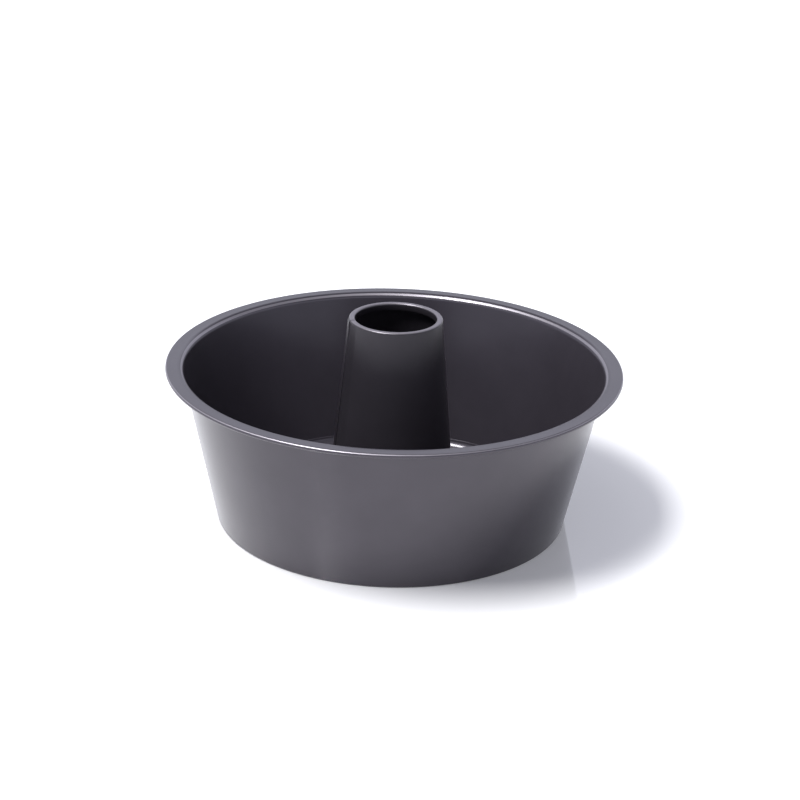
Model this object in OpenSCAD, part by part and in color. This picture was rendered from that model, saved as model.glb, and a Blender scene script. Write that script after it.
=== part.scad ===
// Angel food cake pan in coated steel: a flared outer pan with a ledge inside its foot,
// and a lift-out insert made of a dished base plate and a tall centre tube.
// Millimetres, +Z up. The origin is on the axis, at the height of the surface the pan stands on.

/* [Outer pan] */
// Height of the rim above the surface the pan stands on
pan_h = 91.5; // [60:0.5:120]
// Outside diameter of the foot, where the wall's line meets the standing surface
foot_d = 201.5; // [180:0.5:216]
// Outside diameter of the wall, carried up to the height of the rim
mouth_d = 241.5; // [228:0.5:260]
// How far the rim reaches out past the wall
rim_w = 9.25; // [8:0.25:16]
// Thickness of the pan's sheet
pan_t = 0.6; // [0.5:0.05:0.9]
// Radius of the bend from the wall to the rim, on its upper face
rim_bend_r = 4; // [1.5:0.1:4.5]
// Radius of the bend at the foot, on its outer face
foot_bend_r = 1.3; // [1:0.1:1.6]
// Width of the edge that is folded back under the rim
hem_w = 4; // [3:0.1:5]
// Open height left inside the folded edge
hem_gap = 1.2; // [0.3:0.05:1.5]
// Width of the ledge inside the foot, which carries the base plate
ledge_w = 10; // [8:0.5:16]

/* [Base plate] */
// Thickness of the base plate's sheet
plate_t = 0.6; // [0.5:0.05:0.9]
// Height of the turned-up edge above the ledge
lip_h = 5; // [4.7:0.1:9]
// Radius of the bend from the plate's floor to its turned-up edge, on its upper face
lip_bend_r = 5; // [2.5:0.1:5.5]
// Gap between the turned-up edge and the pan's wall
wall_gap = 0.3; // [0.2:0.05:0.8]

/* [Centre tube] */
// Height of the tube's top above the surface the pan stands on
tube_h = 119.5; // [96:0.5:140]
// Outside diameter of the tube at its foot
tube_foot_d = 74.8; // [66:0.2:90]
// Outside diameter of the tube at its top
tube_top_d = 53; // [46:0.2:62]
// Thickness of the tube's sheet
tube_t = 0.5; // [0.4:0.05:0.55]
// Width of the edge that is rolled inward at the top
curl_w = 3.4; // [2.7:0.1:5]
// Height of the rolled edge's inner leg
curl_h = 4; // [3:0.1:6]
// Radius of the rolled edge's two bends, on their outer face
curl_r = 1.1; // [0.8:0.05:1.2]
// Width of the flange that is turned out under the base plate
foot_flange_w = 4; // [3:0.1:8]
// Gap between the bend above that flange and the hole in the base plate
hole_gap = 0.05; // [0.02:0.01:0.2]
// How far the bead above the base plate stands out of the tube
bead_w = 2; // [1.8:0.1:2.5]
// Height of that bead
bead_h = 3; // [2.6:0.1:5]

/* [Tube seam] */
// Width of the strip where the tube's sheet laps over itself
seam_w = 6; // [4:0.5:10]
// Direction of the seam from the +X axis
seam_a = 189; // [0:1:359]
// Width of the notch in the rolled edge beside the seam
notch_w = 0.8; // [0.5:0.1:1.5]
// Depth of the notch below the tube's top
notch_h = 4.5; // [3.5:0.1:7]

/* [Hidden] */

$fn = 180;
// Most that a bend's straight steps stray from its true arc
arc_error = 0.015;

pan_grey = "#6b6870";
plate_grey = "#67646c";
tube_grey = "#605d65";

// The wall's lean from the vertical
wall_a = atan((mouth_d - foot_d) / 2 / pan_h);
// Radius of the wall's outer face at height z
function wall_r(z) = foot_d / 2 + z * tan(wall_a);
// Horizontal size of a distance measured square to the wall
function across_wall(d) = d / cos(wall_a);

rim_r = mouth_d / 2 + rim_w;
hem_r = (hem_gap + pan_t) / 2;
ledge_r = wall_r(0) - across_wall(pan_t) - ledge_w;

// The plate lies on the ledge, and the tube's flange under the plate fits inside the ledge
plate_z = pan_t;
plate_mid_z = plate_z + plate_t / 2;
lip_back = across_wall(pan_t + wall_gap + plate_t / 2);

// The tube's lean from the vertical
tube_a = atan((tube_foot_d - tube_top_d) / 2 / tube_h);
// Radius of the middle of the tube's sheet at height z
function tube_mid_r(z) = tube_foot_d / 2 - z * tan(tube_a) - tube_t / 2 / cos(tube_a);
// Radius of the middle of the sheet in the tube's tight bends
tight_r = tube_t;
foot_mid_z = plate_z - tube_t / 2;
plate_hole_r = tube_mid_r(foot_mid_z) + tight_r + hole_gap;
bead_mid_z = plate_z + plate_t + tube_t / 2;
curl_in_r = tube_top_d / 2 - curl_w;

// Unit vector from p to q
function along(p, q) = (q - p) / norm(q - p);
// The vector v turned to the left by the angle a
function turned(v, a) = [v.x * cos(a) - v.y * sin(a), v.x * sin(a) + v.y * cos(a)];
// Angle that a path turns through at corner q, positive to the left
function turn(p, q, s) = sign(cross(q - p, s - q)) * acos(along(p, q) * along(q, s));

// Points of the bend at corner q, where the path has radius r, for the face that lies off to its left
function bend(p, q, s, r, off) =
    let (a = turn(p, q, s),
        way = along(p, q),
        start = q - way * r * tan(abs(a) / 2),
        to_centre = turned(way, sign(a) * 90),
        centre = start + to_centre * r,
        face_r = r - sign(a) * off,
        steps = ceil(abs(a) / (2 * acos(1 - arc_error / (r + abs(off))))))
    [for (i = [0:steps]) centre - turned(to_centre, a * i / steps) * face_r];

// The face of a sheet that lies off to the left of its path, with the corners rounded to radii
function face(path, radii, off) =
    let (last = len(path) - 1)
    [path[0] + turned(along(path[0], path[1]), 90) * off,
        for (i = [1:last - 1]) each bend(path[i - 1], path[i], path[i + 1], radii[i - 1], off),
        path[last] + turned(along(path[last - 1], path[last]), 90) * off];

// The points in order, without one that repeats the point before it
function distinct(points) =
    [for (i = [0:len(points) - 1]) if (i == 0 || norm(points[i] - points[i - 1]) > 0.001) points[i]];

// The points from last to first
function reverse(points) = [for (i = [len(points) - 1:-1:0]) points[i]];

// Section of a sheet of thickness t whose middle follows path, with its corners rounded to radii
module sheet(path, radii, t) {
    near_face = distinct(face(path, radii, -t / 2));
    far_face = distinct(face(path, radii, t / 2));
    polygon(concat(near_face, reverse(far_face)));
}

// Drawn pan: ledge, foot bend, flared wall, rim and the edge folded back under the rim
module outer_pan() {
    half = pan_t / 2;
    inward = across_wall(half);
    rim_z = pan_h - half;
    fold_z = rim_z - 2 * hem_r;
    color(pan_grey) rotate_extrude() sheet(
        [[ledge_r, half], [wall_r(half) - inward, half], [wall_r(rim_z) - inward, rim_z],
            [rim_r - half, rim_z], [rim_r - half, fold_z], [rim_r - hem_w, fold_z]],
        [foot_bend_r - half, rim_bend_r - half, hem_r, hem_r],
        pan_t);
}

// Dished plate that lies on the ledge, with its edge turned up along the pan's wall
module base_plate() {
    lip_z = plate_z + lip_h;
    color(plate_grey) rotate_extrude() sheet(
        [[plate_hole_r, plate_mid_z], [wall_r(plate_mid_z) - lip_back, plate_mid_z],
            [wall_r(lip_z) - lip_back, lip_z]],
        [lip_bend_r + plate_t / 2],
        plate_t);
}

// Section of the tube's sheet: flange under the plate, bead on the plate, cone and rolled top
module tube_section() {
    half = tube_t / 2;
    top_z = tube_h - half;
    leg_r = curl_in_r + half;
    bead_top_z = bead_mid_z + bead_h;
    sheet(
        [[tube_foot_d / 2 + foot_flange_w, foot_mid_z], [tube_mid_r(foot_mid_z), foot_mid_z],
            [tube_mid_r(bead_mid_z), bead_mid_z], [tube_mid_r(bead_mid_z) + bead_w, bead_mid_z],
            [tube_mid_r(bead_top_z), bead_top_z], [tube_mid_r(top_z), top_z],
            [leg_r, top_z], [leg_r, tube_h - curl_h]],
        [tight_r, tight_r, tight_r, tight_r, curl_r - half, curl_r - half],
        tube_t);
}

// The strip where the sheet laps over itself: a second layer, half sunk into the tube's outer face
module seam_strip() {
    low_z = bead_mid_z + bead_h + tube_t;
    high_z = tube_h - curl_r;
    out = tube_t / 2 / cos(tube_a);
    rotate([0, 0, seam_a]) intersection() {
        rotate_extrude() sheet(
            [[tube_mid_r(low_z) + out, low_z], [tube_mid_r(high_z) + out, high_z]], [], tube_t);
        translate([0, -seam_w / 2, 0]) cube([tube_foot_d, seam_w, tube_h]);
    }
}

// Rolled tube, open right through, with its lapped seam and the notch beside it
module centre_tube() {
    color(tube_grey) difference() {
        union() {
            rotate_extrude() tube_section();
            seam_strip();
        }
        rotate([0, 0, seam_a])
            translate([curl_in_r / 2, seam_w / 2 - notch_w, tube_h - notch_h])
                cube([tube_top_d, notch_w, 2 * notch_h]);
    }
}

outer_pan();
base_plate();
centre_tube();
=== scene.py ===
# Angel food cake pan in satin non-stick steel: a flared outer pan, and an insert of a dished
# base plate and a tall lapped tube that lifts out. Metres, +Z up, origin under the pan's axis.

import math

import bmesh
import bpy
from mathutils import Matrix, Vector


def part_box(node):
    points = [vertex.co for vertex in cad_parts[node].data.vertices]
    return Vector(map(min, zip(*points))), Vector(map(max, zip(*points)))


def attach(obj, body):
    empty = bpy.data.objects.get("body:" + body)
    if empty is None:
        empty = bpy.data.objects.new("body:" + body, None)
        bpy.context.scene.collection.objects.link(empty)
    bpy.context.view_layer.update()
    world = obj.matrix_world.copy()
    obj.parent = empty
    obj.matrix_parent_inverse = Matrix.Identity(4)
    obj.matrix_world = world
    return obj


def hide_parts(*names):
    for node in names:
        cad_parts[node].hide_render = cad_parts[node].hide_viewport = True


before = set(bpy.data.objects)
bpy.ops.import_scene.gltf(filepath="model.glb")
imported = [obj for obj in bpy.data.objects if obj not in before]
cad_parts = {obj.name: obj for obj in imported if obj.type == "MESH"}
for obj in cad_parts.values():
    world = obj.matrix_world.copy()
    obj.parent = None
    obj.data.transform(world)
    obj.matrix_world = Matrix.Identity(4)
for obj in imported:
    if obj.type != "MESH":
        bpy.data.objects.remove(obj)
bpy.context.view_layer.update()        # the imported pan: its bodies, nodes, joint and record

MM = 0.001

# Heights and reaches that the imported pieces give
pan_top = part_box("outer_pan")[1]
plate_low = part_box("base_plate")[0]
plate_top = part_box("base_plate")[1]
tube_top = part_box("centre_tube")[1]

# Outer pan
PAN_H = pan_top.z
RIM_R = pan_top.x
FOOT_R = 100.75 * MM
MOUTH_R = 120.75 * MM
PAN_T = 0.6 * MM
RIM_BEND_R = 4 * MM
FOOT_BEND_R = 1.3 * MM
HEM_W = 4 * MM
HEM_GAP = 1.2 * MM
LEDGE_W = 10 * MM

# Base plate
PLATE_T = 0.6 * MM
LIP_BEND_R = 5 * MM
WALL_GAP = 0.3 * MM

# Centre tube
TUBE_H = tube_top.z
TUBE_FOOT_R = 37.4 * MM
TUBE_TOP_R = 26.5 * MM
TUBE_T = 0.5 * MM
CURL_W = 3.4 * MM
CURL_H = 4 * MM
CURL_R = 1.1 * MM
FOOT_FLANGE_W = 4 * MM
HOLE_GAP = 0.05 * MM
BEAD_W = 2 * MM
BEAD_H = 3 * MM

# Seam of the tube
SEAM_W = 6 * MM
SEAM_A = math.radians(189)
NOTCH_W = 0.8 * MM
NOTCH_H = 4.5 * MM

# Fineness of the meshes: steps round a ring, and the angle turned by each step of a bend
RING_STEPS = 256
BEND_STEP = math.radians(9)
# Round-over of a sheet's cut edge, and the least angle of an edge that gets it
EDGE_ROUND = 0.14 * MM
EDGE_ANGLE = math.radians(50)
# The plate's cut edges are rounded over nearly half its thickness from each face
PLATE_EDGE_ROUND = 2 * EDGE_ROUND
# Least angle of an edge that is shaded sharp
SHARP_ANGLE = math.radians(32)
# Points that are nearer to each other than this are merged
MERGE_GAP = 0.001 * MM
# A point that is off a ring by less than this counts as on it
ON_RING_GAP = 0.01 * MM


def deselect():
    """Leaves object mode with nothing selected."""
    if bpy.context.mode != "OBJECT":
        bpy.ops.object.mode_set(mode="OBJECT")
    bpy.ops.object.select_all(action="DESELECT")


def work_on(piece):
    """Makes piece the only selected and active object."""
    deselect()
    piece.select_set(True)
    bpy.context.view_layer.objects.active = piece


def select_edges(piece, wanted):
    """In edit mode, selects just the edges for which wanted(end_a, end_b) holds."""
    bpy.ops.mesh.select_mode(type="EDGE")
    bpy.ops.mesh.select_all(action="DESELECT")
    mesh = bmesh.from_edit_mesh(piece.data)
    for edge in mesh.edges:
        edge.select_set(wanted(edge.verts[0].co, edge.verts[1].co))
    bmesh.update_edit_mesh(piece.data)


def select_faces(piece, wanted):
    """In edit mode, selects just the faces for which wanted(middle, normal) holds."""
    bpy.ops.mesh.select_mode(type="FACE")
    bpy.ops.mesh.select_all(action="DESELECT")
    mesh = bmesh.from_edit_mesh(piece.data)
    for face in mesh.faces:
        face.select_set(wanted(face.calc_center_median(), face.normal))
    bmesh.update_edit_mesh(piece.data)


def use_modifier(piece, kind, **settings):
    """Adds a modifier with these settings and applies it."""
    work_on(piece)
    modifier = piece.modifiers.new(kind.lower(), kind)
    for name, value in settings.items():
        setattr(modifier, name, value)
    bpy.ops.object.modifier_apply(modifier=modifier.name)


def turned_sheet(name, path, bends, thickness):
    """A round sheet-metal form: a ring drawn out along path, bent at its corners and thickened.

    path holds the corners of the sheet's middle as (radius, height), and bends the middle's
    radius at each corner between the ends.
    """
    deselect()
    first_r, first_z = path[0]
    bpy.ops.mesh.primitive_circle_add(vertices=RING_STEPS, radius=first_r, location=(0, 0, first_z))
    piece = bpy.context.object
    piece.name = name
    bpy.ops.object.transform_apply(location=True, rotation=False, scale=False)
    bpy.ops.object.mode_set(mode="EDIT")
    bpy.ops.mesh.select_mode(type="EDGE")
    bpy.ops.mesh.select_all(action="SELECT")
    for (from_r, from_z), (to_r, to_z) in zip(path, path[1:]):
        bpy.ops.mesh.extrude_edges_move(TRANSFORM_OT_translate={"value": (0, 0, to_z - from_z)})
        grow = to_r / from_r
        bpy.ops.transform.resize(value=(grow, grow, 1), center_override=(0, 0, to_z))
    for before, corner, after, radius in zip(path, path[1:], path[2:], bends):
        round_corner(piece, before, corner, after, radius)
    bpy.ops.mesh.select_all(action="SELECT")
    bpy.ops.mesh.remove_doubles(threshold=MERGE_GAP)
    bpy.ops.mesh.normals_make_consistent(inside=False)
    bpy.ops.object.mode_set(mode="OBJECT")
    use_modifier(piece, "SOLIDIFY", thickness=thickness, offset=0, use_even_offset=True)
    return piece


def round_corner(piece, before, corner, after, radius):
    """Bevels the ring at corner into a bend of that radius."""
    way_in = (Vector(corner) - Vector(before)).normalized()
    way_out = (Vector(after) - Vector(corner)).normalized()
    turn = way_in.angle(way_out)

    def on_ring(point):
        off_r = abs(point.xy.length - corner[0])
        off_z = abs(point.z - corner[1])
        return off_r < ON_RING_GAP and off_z < ON_RING_GAP

    select_edges(piece, lambda a, b: on_ring(a) and on_ring(b))
    bpy.ops.mesh.bevel(
        offset=radius * math.tan(turn / 2), segments=max(2, math.ceil(turn / BEND_STEP)),
        profile=0.5, affect="EDGES", clamp_overlap=False)


def round_edges(piece, width=EDGE_ROUND):
    """Takes the sharpness off the sheet's cut edges."""
    use_modifier(
        piece, "BEVEL", width=width, segments=2, limit_method="ANGLE",
        angle_limit=EDGE_ANGLE, use_clamp_overlap=True)


def smooth(piece):
    """Shades the piece smooth, apart from its true edges."""
    work_on(piece)
    bpy.ops.object.shade_smooth_by_angle(angle=SHARP_ANGLE)


def settle(piece, body, node, material):
    """Gives a finished piece its body and its finish, and hides the CAD node that it stands in for."""
    smooth(piece)
    piece.data.materials.clear()
    piece.data.materials.append(material)
    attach(piece, body)
    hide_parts(node)


# Finishes

# Width across of the coating's patterns: slow patches of tone where the film is thicker, the
# orange peel of the spray, and flake and grit, which is drawn coarse so that it shows
FILM_PATCH = 35 * MM
PEEL_RIPPLE = 1.6 * MM
GRIT_GRAIN = 0.35 * MM
# Height of the ripples and of the grit, and the share of it that the light shows
PEEL_DEPTH = 0.02 * MM
PEEL_SHARE = 0.25
GRIT_DEPTH = 0.01 * MM
GRIT_SHARE = 0.15
# The clear top layer
TOPCOAT_ROUGHNESS = 0.15
TOPCOAT_IOR = 1.5
# Lower and upper end of the values that a noise pattern mostly has
NOISE_LOW = 0.3
NOISE_HIGH = 0.7
# How far the grit moves a coating's roughness either way. A coating is nowhere smoother than 0.28,
# because at 0.25 the curved wall renders with hairlines
ROUGHNESS_SPREAD = 0.02
# Lighter steel on the rubbed edges. It is partly worn steel and partly a painted highlight, because the
# bands lie where the soft box's highlight falls on the rounded edges. Its colour, the share of the band
# that is metal, and the roughness that its fine scratches give
WORN_HIGHLIGHT_STEEL = "#928e95"
WORN_HIGHLIGHT_FLAKE = 0.8
WORN_HIGHLIGHT_ROUGHNESS = 0.44
# The share of a band's width that is fully lighter steel and painted highlight, before it fades out
WORN_HIGHLIGHT_CORE = 0.7


def srgb(hex_code):
    """A colour written as sRGB hex, as linear RGBA."""
    parts = [int(hex_code[i:i + 2], 16) / 255 for i in (1, 3, 5)]
    return [c / 12.92 if c <= 0.04045 else ((c + 0.055) / 1.055) ** 2.4 for c in parts] + [1]


def add(tree, kind, settings=None, links=None):
    """Adds a shader node, sets its properties and sockets, and links its inputs."""
    node = tree.nodes.new(kind)
    for name, value in (settings or {}).items():
        if isinstance(name, int) or name in node.inputs:
            node.inputs[name].default_value = value
        else:
            setattr(node, name, value)
    for name, source in (links or {}).items():
        tree.links.new(source, node.inputs[name])
    return node


def new_material(name):
    """An empty node material with that name."""
    material = bpy.data.materials.new(name)
    material.use_nodes = True
    material.node_tree.nodes.clear()
    return material


def near_ring(tree, place, radius, height, width):
    """1 near the ring of that radius and height about the axis, and 0 from width away from it."""
    flat = add(tree, "ShaderNodeVectorMath", {"operation": "MULTIPLY", 1: (1, 1, 0)}, {0: place})
    out = add(tree, "ShaderNodeVectorMath", {"operation": "LENGTH"}, {0: flat.outputs["Vector"]})
    up = add(tree, "ShaderNodeSeparateXYZ", None, {0: place})
    off_ring = add(tree, "ShaderNodeMath", {"operation": "SUBTRACT", 1: radius},
                   {0: out.outputs["Value"]})
    off_level = add(tree, "ShaderNodeMath", {"operation": "SUBTRACT", 1: height},
                    {0: up.outputs["Z"]})
    off = add(tree, "ShaderNodeCombineXYZ", None,
              {0: off_ring.outputs["Value"], 1: off_level.outputs["Value"]})
    gap = add(tree, "ShaderNodeVectorMath", {"operation": "LENGTH"}, {0: off.outputs["Vector"]})
    near = add(tree, "ShaderNodeMapRange",
               {"From Min": WORN_HIGHLIGHT_CORE * width, "From Max": width, "To Min": 1.0, "To Max": 0.0},
               {"Value": gap.outputs["Value"]})
    return near.outputs["Result"]


def nonstick_coating(name, light, dark, flake, roughness, topcoat, worn_highlights):
    """Sprayed and baked PTFE coating with fine metal flake, on drawn carbon steel.

    It gives a dark satin face that mirrors the room softly, with a faint orange peel from the
    spray and slow changes of tone, from dark to light, where the film is thicker. flake is the
    share of the face that is metal, and topcoat the share that the clear top layer covers.
    worn_highlights lists bands of lighter, rougher steel. Each is partly a worn edge and partly a
    painted highlight, placed where the soft box's highlight falls: the radius, height and width of
    each.
    """
    material = new_material(name)
    tree = material.node_tree
    place = add(tree, "ShaderNodeTexCoord").outputs["Object"]
    film = add(tree, "ShaderNodeTexNoise", {"Scale": 1 / FILM_PATCH, "Detail": 3.0, "Roughness": 0.5},
               {"Vector": place})
    peel = add(tree, "ShaderNodeTexNoise", {"Scale": 1 / PEEL_RIPPLE, "Detail": 1.0, "Roughness": 0.4},
               {"Vector": place})
    grit = add(tree, "ShaderNodeTexNoise", {"Scale": 1 / GRIT_GRAIN, "Detail": 2.0, "Roughness": 0.6},
               {"Vector": place})
    tone = add(tree, "ShaderNodeMapRange", {"From Min": NOISE_LOW, "From Max": NOISE_HIGH},
               {"Value": film.outputs["Fac"]})
    colour = add(tree, "ShaderNodeMix", {"data_type": "RGBA", 6: srgb(dark), 7: srgb(light)},
                 {0: tone.outputs["Result"]})
    rough = add(tree, "ShaderNodeMapRange",
                {"From Min": NOISE_LOW, "From Max": NOISE_HIGH,
                 "To Min": roughness - ROUGHNESS_SPREAD, "To Max": roughness + ROUGHNESS_SPREAD},
                {"Value": grit.outputs["Fac"]})
    peel_bump = add(tree, "ShaderNodeBump", {"Strength": PEEL_SHARE, "Distance": PEEL_DEPTH},
                    {"Height": peel.outputs["Fac"]})
    grit_bump = add(tree, "ShaderNodeBump", {"Strength": GRIT_SHARE, "Distance": GRIT_DEPTH},
                    {"Height": grit.outputs["Fac"], "Normal": peel_bump.outputs["Normal"]})
    face = {"Base Color": colour.outputs[2], "Roughness": rough.outputs["Result"],
            "Normal": grit_bump.outputs["Normal"]}
    # Bands of lighter steel: partly worn edges, partly painted highlight where the soft box's highlight
    # falls
    if worn_highlights:
        worn_and_highlit = near_ring(tree, place, *worn_highlights[0])
        for edge in worn_highlights[1:]:
            either = add(tree, "ShaderNodeMath", {"operation": "MAXIMUM"},
                         {0: worn_and_highlit, 1: near_ring(tree, place, *edge)})
            worn_and_highlit = either.outputs["Value"]
        steel_and_highlight = add(tree, "ShaderNodeMix", {"data_type": "RGBA", 7: srgb(WORN_HIGHLIGHT_STEEL)},
                    {0: worn_and_highlit, 6: colour.outputs[2]})
        metal = add(tree, "ShaderNodeMix", {2: flake, 3: WORN_HIGHLIGHT_FLAKE}, {0: worn_and_highlit})
        scratches = add(tree, "ShaderNodeMix", {3: WORN_HIGHLIGHT_ROUGHNESS},
                        {0: worn_and_highlit, 2: rough.outputs["Result"]})
        face["Base Color"] = steel_and_highlight.outputs[2]
        face["Metallic"] = metal.outputs[0]
        face["Roughness"] = scratches.outputs[0]
    shader = add(
        tree, "ShaderNodeBsdfPrincipled",
        {"Metallic": flake, "Coat Weight": topcoat, "Coat Roughness": TOPCOAT_ROUGHNESS,
         "Coat IOR": TOPCOAT_IOR},
        face)
    add(tree, "ShaderNodeOutputMaterial", None, {"Surface": shader.outputs["BSDF"]})
    return material


# Pieces

wall_lean = math.atan((MOUTH_R - FOOT_R) / PAN_H)


def wall_r(height):
    """Radius of the wall's outer face at that height."""
    return FOOT_R + height * math.tan(wall_lean)


def across_wall(distance):
    """Horizontal size of a distance measured square to the wall."""
    return distance / math.cos(wall_lean)


def model_outer_pan():
    """The drawn pan: ledge, foot bend, flared wall, rim and the edge folded back under the rim."""
    half = PAN_T / 2
    inward = across_wall(half)
    hem_r = (HEM_GAP + PAN_T) / 2
    rim_z = PAN_H - half
    fold_z = rim_z - 2 * hem_r
    ledge_r = wall_r(0) - across_wall(PAN_T) - LEDGE_W
    pan = turned_sheet(
        "outer_pan_shell",
        [(ledge_r, half), (wall_r(half) - inward, half), (wall_r(rim_z) - inward, rim_z),
         (RIM_R - half, rim_z), (RIM_R - half, fold_z), (RIM_R - HEM_W, fold_z)],
        [FOOT_BEND_R - half, RIM_BEND_R - half, hem_r, hem_r],
        PAN_T)
    round_edges(pan)
    return pan


tube_lean = math.atan((TUBE_FOOT_R - TUBE_TOP_R) / TUBE_H)


def tube_mid_r(height):
    """Radius of the middle of the tube's sheet at that height."""
    return TUBE_FOOT_R - height * math.tan(tube_lean) - TUBE_T / 2 / math.cos(tube_lean)


# Height of the middle of the tube's flange, and the middle's radius in the tube's tight bends
foot_mid_z = plate_low.z - TUBE_T / 2
tight_r = TUBE_T


def model_base_plate():
    """The dished plate on the ledge, with its edge turned up along the wall."""
    mid_z = plate_low.z + PLATE_T / 2
    back = across_wall(PAN_T + WALL_GAP + PLATE_T / 2)
    hole_r = tube_mid_r(foot_mid_z) + tight_r + HOLE_GAP
    # The lip is cut square to the wall, so its middle ends a little under its top
    lip_z = plate_top.z - PLATE_T / 2 * math.sin(wall_lean)
    plate = turned_sheet(
        "base_plate_dish",
        [(hole_r, mid_z), (wall_r(mid_z) - back, mid_z), (wall_r(lip_z) - back, lip_z)],
        [LIP_BEND_R + PLATE_T / 2],
        PLATE_T)
    round_edges(plate, PLATE_EDGE_ROUND)
    return plate


def model_centre_tube():
    """The rolled tube: flange, bead, cone, edge rolled inward, lapped seam and notch."""
    half = TUBE_T / 2
    top_z = TUBE_H - half
    leg_r = TUBE_TOP_R - CURL_W + half
    bead_z = plate_low.z + PLATE_T + half
    bead_top_z = bead_z + BEAD_H
    knee_r = CURL_R - half
    tube = turned_sheet(
        "centre_tube_shell",
        [(TUBE_FOOT_R + FOOT_FLANGE_W, foot_mid_z), (tube_mid_r(foot_mid_z), foot_mid_z),
         (tube_mid_r(bead_z), bead_z), (tube_mid_r(bead_z) + BEAD_W, bead_z),
         (tube_mid_r(bead_top_z), bead_top_z), (tube_mid_r(top_z), top_z),
         (leg_r, top_z), (leg_r, TUBE_H - CURL_H)],
        [tight_r, tight_r, tight_r, tight_r, knee_r, knee_r],
        TUBE_T)
    raise_seam(tube, bead_top_z + TUBE_T, TUBE_H - CURL_R)
    cut_notch(tube)
    round_edges(tube)
    return tube


# The way from the axis to the seam, and the way across the seam
seam_out = Vector((math.cos(SEAM_A), math.sin(SEAM_A), 0))
seam_across = Vector((-math.sin(SEAM_A), math.cos(SEAM_A), 0))


def raise_seam(tube, low_z, high_z):
    """Raises the strip where the sheet laps over itself by one thickness of sheet."""
    work_on(tube)
    bpy.ops.object.mode_set(mode="EDIT")
    # Cosine of how far round the tube a face may lie from the seam, and the least that it looks
    # the seam's way
    near_seam = math.cos(math.radians(25))
    facing_out = 0.9 * near_seam
    upright = Vector((0, 0, 1))
    cuts = [(seam_across * side * SEAM_W / 2, seam_across) for side in (-1, 1)]
    cuts += [(upright * height, upright) for height in (low_z, high_z)]

    def on_outer_cone(middle, normal):
        beside_seam = middle.xy.normalized().dot(seam_out.xy) > near_seam
        above_flange = middle.z > low_z / 2
        return beside_seam and above_flange and normal.dot(seam_out) > facing_out

    for place, normal in cuts:
        select_faces(tube, on_outer_cone)
        bpy.ops.mesh.bisect(plane_co=place, plane_no=normal)
    select_faces(
        tube, lambda middle, normal: on_outer_cone(middle, normal)
        and abs(middle.dot(seam_across)) < SEAM_W / 2 and low_z < middle.z < high_z)
    bpy.ops.mesh.extrude_region_shrink_fatten(TRANSFORM_OT_shrink_fatten={"value": TUBE_T})
    bpy.ops.object.mode_set(mode="OBJECT")


def cut_notch(tube):
    """Cuts the slot beside the seam through the rolled top edge."""
    deselect()
    out = TUBE_TOP_R - CURL_W / 2
    middle = seam_out * out + seam_across * (SEAM_W / 2 - NOTCH_W / 2) + Vector((0, 0, TUBE_H))
    bpy.ops.mesh.primitive_cube_add(size=1, location=middle, rotation=(0, 0, SEAM_A))
    cutter = bpy.context.object
    # It reaches past both faces of the rolled edge, and as far above the top as into the tube
    bpy.ops.transform.resize(value=(3 * CURL_W, NOTCH_W, 2 * NOTCH_H), orient_type="LOCAL")
    use_modifier(tube, "BOOLEAN", operation="DIFFERENCE", object=cutter, solver="EXACT")
    bpy.data.objects.remove(cutter)


# Studio

# The photograph's frame, and where the middle of the rim lies in it, in pixels
PHOTO_SIZE = 800
RIM_MIDDLE_PX = (394.65, 363.55)
# Focal length of the lens in pixels of that frame
LENS_PX = 2200
SENSOR_MM = 36
# From the lens to the middle of the rim
CAMERA_DISTANCE = 1252.5 * MM
CAMERA_ELEVATION = math.radians(22.24)
CAMERA_ROLL = math.radians(1.7)
# Nearest and furthest that the camera sees
CLIP_NEAR = 0.05
CLIP_FAR = 50

# The overhead soft box: the way to it from the pan, how far off it is, the lengths of its sides
# and its power
KEY_WAY = Vector((-0.416, -0.2, 1)).normalized()
KEY_DISTANCE = 3
KEY_LENGTH = 1.4
KEY_WIDTH = 0.85
KEY_WATTS = 115
# The room: how bright its walls look low down and high up, the share of that on its ceiling, the
# even light that it gives dull faces, and the white of the backdrop behind the table
ROOM_LOW = 0.7
ROOM_HIGH = 1.5
CEILING_SHARE = 0.2
ROOM_FILL = 0.32
BACKDROP = 1.15
# Sines of the heights above eye level where the walls get brighter and where the ceiling begins
WALL_RISE = (0.3, 0.44)
CEILING_EDGE = (0.46, 0.56)
# The table: the length of its sides, the light that its white adds near the pan, where the shadow
# falls, and far off, and the distances from the axis where that light begins to rise and is full
TABLE_SIZE = 8
TABLE_LIFT_NEAR = 0.145
TABLE_LIFT_FAR = 1.0
TABLE_NEAR = 0.13
TABLE_FAR = 1.0
# Its gloss, which mirrors the pan faintly
TABLE_ROUGHNESS = 0.05
TABLE_IOR = 1.6


def place_camera():
    """Stands the camera where the photograph was taken from."""
    data = bpy.data.cameras.new("camera")
    camera = bpy.data.objects.new("camera", data)
    bpy.context.scene.collection.objects.link(camera)
    data.sensor_width = SENSOR_MM
    data.lens = SENSOR_MM * LENS_PX / PHOTO_SIZE
    data.clip_start = CLIP_NEAR
    data.clip_end = CLIP_FAR
    look = Vector((0, math.cos(CAMERA_ELEVATION), -math.sin(CAMERA_ELEVATION)))
    level = Vector((1, 0, 0))
    upright = level.cross(look)
    right = level * math.cos(CAMERA_ROLL) + upright * math.sin(CAMERA_ROLL)
    up = upright * math.cos(CAMERA_ROLL) - level * math.sin(CAMERA_ROLL)
    off_x = (RIM_MIDDLE_PX[0] - PHOTO_SIZE / 2) / LENS_PX
    off_y = (RIM_MIDDLE_PX[1] - PHOTO_SIZE / 2) / LENS_PX
    target = Vector((0, 0, PAN_H))
    place = target - CAMERA_DISTANCE * (look + right * off_x - up * off_y)
    turn = Matrix((right, up, -look)).transposed().to_4x4()
    camera.matrix_world = Matrix.Translation(place) @ turn
    bpy.context.scene.camera = camera


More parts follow.
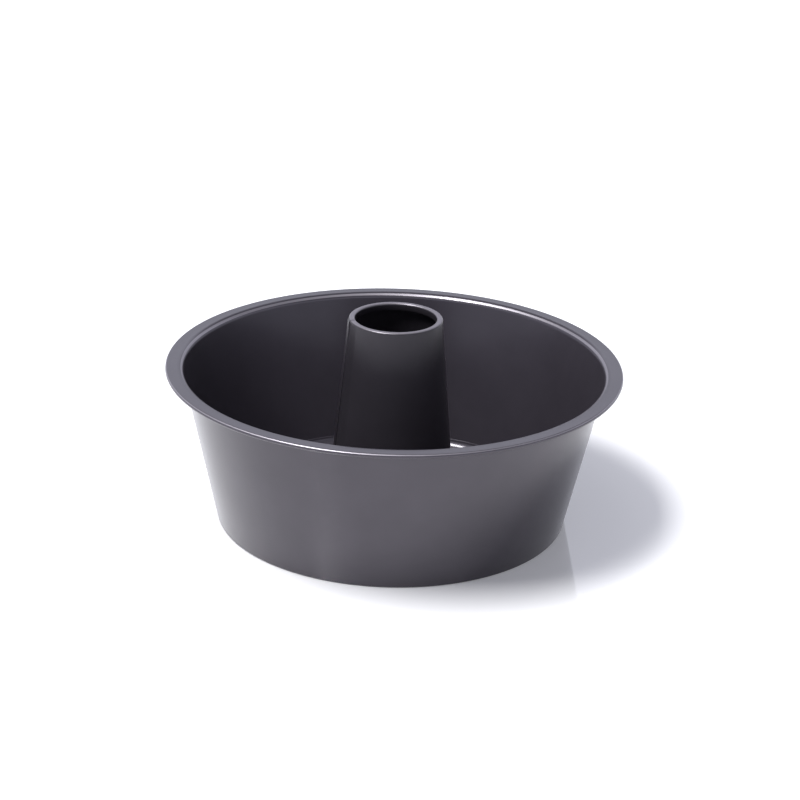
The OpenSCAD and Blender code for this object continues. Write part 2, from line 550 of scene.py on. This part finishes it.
def seen_directly(tree):
    """1 for what the camera, a mirror or glass looks at, and 0 for what only lights dull faces."""
    path = add(tree, "ShaderNodeLightPath")
    mirrored = add(tree, "ShaderNodeMath", {"operation": "MAXIMUM"},
                   {0: path.outputs["Is Camera Ray"], 1: path.outputs["Is Glossy Ray"]})
    seen = add(tree, "ShaderNodeMath", {"operation": "MAXIMUM"},
               {0: mirrored.outputs["Value"], 1: path.outputs["Is Transmission Ray"]})
    return seen.outputs["Value"]


def hang_soft_box():
    """The key light: a soft box overhead and to the left, with its long side along Y."""
    data = bpy.data.lights.new("soft_box", "AREA")
    data.shape = "RECTANGLE"
    data.size = KEY_WIDTH
    data.size_y = KEY_LENGTH
    data.energy = KEY_WATTS
    light = bpy.data.objects.new("soft_box", data)
    bpy.context.scene.collection.objects.link(light)
    lengthwise = KEY_WAY.cross(Vector((1, 0, 0))).normalized()
    turn = Matrix((lengthwise.cross(KEY_WAY), lengthwise, KEY_WAY)).transposed().to_4x4()
    light.matrix_world = Matrix.Translation(KEY_WAY * KEY_DISTANCE) @ turn


def light_room():
    """A room with pale walls, brightest high up, under a dim ceiling, and a white backdrop."""
    scene = bpy.context.scene
    scene.view_settings.view_transform = "Standard"
    world = bpy.data.worlds.new("room")
    scene.world = world
    world.use_nodes = True
    tree = world.node_tree
    tree.nodes.clear()
    way = add(tree, "ShaderNodeTexCoord").outputs["Generated"]
    parts = add(tree, "ShaderNodeSeparateXYZ", None, {0: way})
    walls = add(tree, "ShaderNodeMapRange",
                {"interpolation_type": "SMOOTHSTEP", "From Min": WALL_RISE[0], "From Max": WALL_RISE[1],
                 "To Min": ROOM_LOW, "To Max": ROOM_HIGH},
                {"Value": parts.outputs["Z"]})
    ceiling = add(tree, "ShaderNodeMapRange",
                  {"interpolation_type": "SMOOTHSTEP", "From Min": CEILING_EDGE[0],
                   "From Max": CEILING_EDGE[1], "To Min": 1.0, "To Max": CEILING_SHARE},
                  {"Value": parts.outputs["Z"]})
    shown = add(tree, "ShaderNodeMath", {"operation": "MULTIPLY"},
                {0: walls.outputs["Result"], 1: ceiling.outputs["Result"]})
    lit = add(tree, "ShaderNodeMix", {2: ROOM_FILL},
              {0: seen_directly(tree), 3: shown.outputs["Value"]})
    path = add(tree, "ShaderNodeLightPath")
    strength = add(tree, "ShaderNodeMix", {3: BACKDROP},
                   {0: path.outputs["Is Camera Ray"], 2: lit.outputs[0]})
    room = add(tree, "ShaderNodeBackground", {"Color": srgb("#eef0ff")},
               {"Strength": strength.outputs[0]})
    add(tree, "ShaderNodeOutputWorld", None, {"Surface": room.outputs["Background"]})


def lay_floor():
    """A white glossy table top, which keeps the pan's shadow and a faint reflection."""
    deselect()
    bpy.ops.mesh.primitive_plane_add(size=TABLE_SIZE, location=(0, 0, 0))
    floor = bpy.context.object
    floor.name = "floor"
    material = new_material("white acrylic table")
    tree = material.node_tree
    board = add(tree, "ShaderNodeBsdfPrincipled",
                {"Base Color": srgb("#f6f6f8"), "Roughness": TABLE_ROUGHNESS, "IOR": TABLE_IOR})
    place = add(tree, "ShaderNodeTexCoord").outputs["Object"]
    away = add(tree, "ShaderNodeVectorMath", {"operation": "LENGTH"}, {0: place})
    white = add(tree, "ShaderNodeMapRange",
                {"From Min": TABLE_NEAR, "From Max": TABLE_FAR,
                 "To Min": TABLE_LIFT_NEAR, "To Max": TABLE_LIFT_FAR},
                {"Value": away.outputs["Value"]})
    strength = add(tree, "ShaderNodeMath", {"operation": "MULTIPLY"},
                   {0: white.outputs["Result"], 1: seen_directly(tree)})
    lift = add(tree, "ShaderNodeEmission", {"Color": srgb("#fafbff")},
               {"Strength": strength.outputs["Value"]})
    both = add(tree, "ShaderNodeAddShader", None,
               {0: board.outputs["BSDF"], 1: lift.outputs["Emission"]})
    add(tree, "ShaderNodeOutputMaterial", None, {"Surface": both.outputs["Shader"]})
    floor.data.materials.append(material)


place_camera()
light_room()
hang_soft_box()
lay_floor()

# Bands of lighter steel, partly edges rubbed in use and partly painted highlight where the soft box's
# highlight falls: the top of the fold round the rim, the bend inside the rim, and the top of the tube,
# each as radius, height and width
rim_fold = (RIM_R - 0.45 * MM, PAN_H - 0.25 * MM, 0.42 * MM)
rim_bend = (MOUTH_R, PAN_H - 1 * MM, 0.9 * MM)
tube_crest = (TUBE_TOP_R - CURL_W / 2, TUBE_H, 1.7 * MM)

pan_coating = nonstick_coating(
    "satin nonstick coating on the pan", light="#49454d", dark="#433f47",
    flake=0.5, roughness=0.3, topcoat=0.4, worn_highlights=[rim_fold, rim_bend])
plate_coating = nonstick_coating(
    "satin nonstick coating on the plate", light="#49454d", dark="#433f47",
    flake=0.5, roughness=0.3, topcoat=0.4, worn_highlights=[])
# The tube's coating is darker than the pan's: painted shade, for the darker surroundings that the tube
# mirrors. It is also matt, with no clear top layer
tube_coating = nonstick_coating(
    "matt nonstick coating on the tube", light="#39363c", dark="#333036",
    flake=0.3, roughness=0.32, topcoat=0.0, worn_highlights=[tube_crest])

settle(model_outer_pan(), "pan", "outer_pan", pan_coating)
settle(model_base_plate(), "insert", "base_plate", plate_coating)
settle(model_centre_tube(), "insert", "centre_tube", tube_coating)
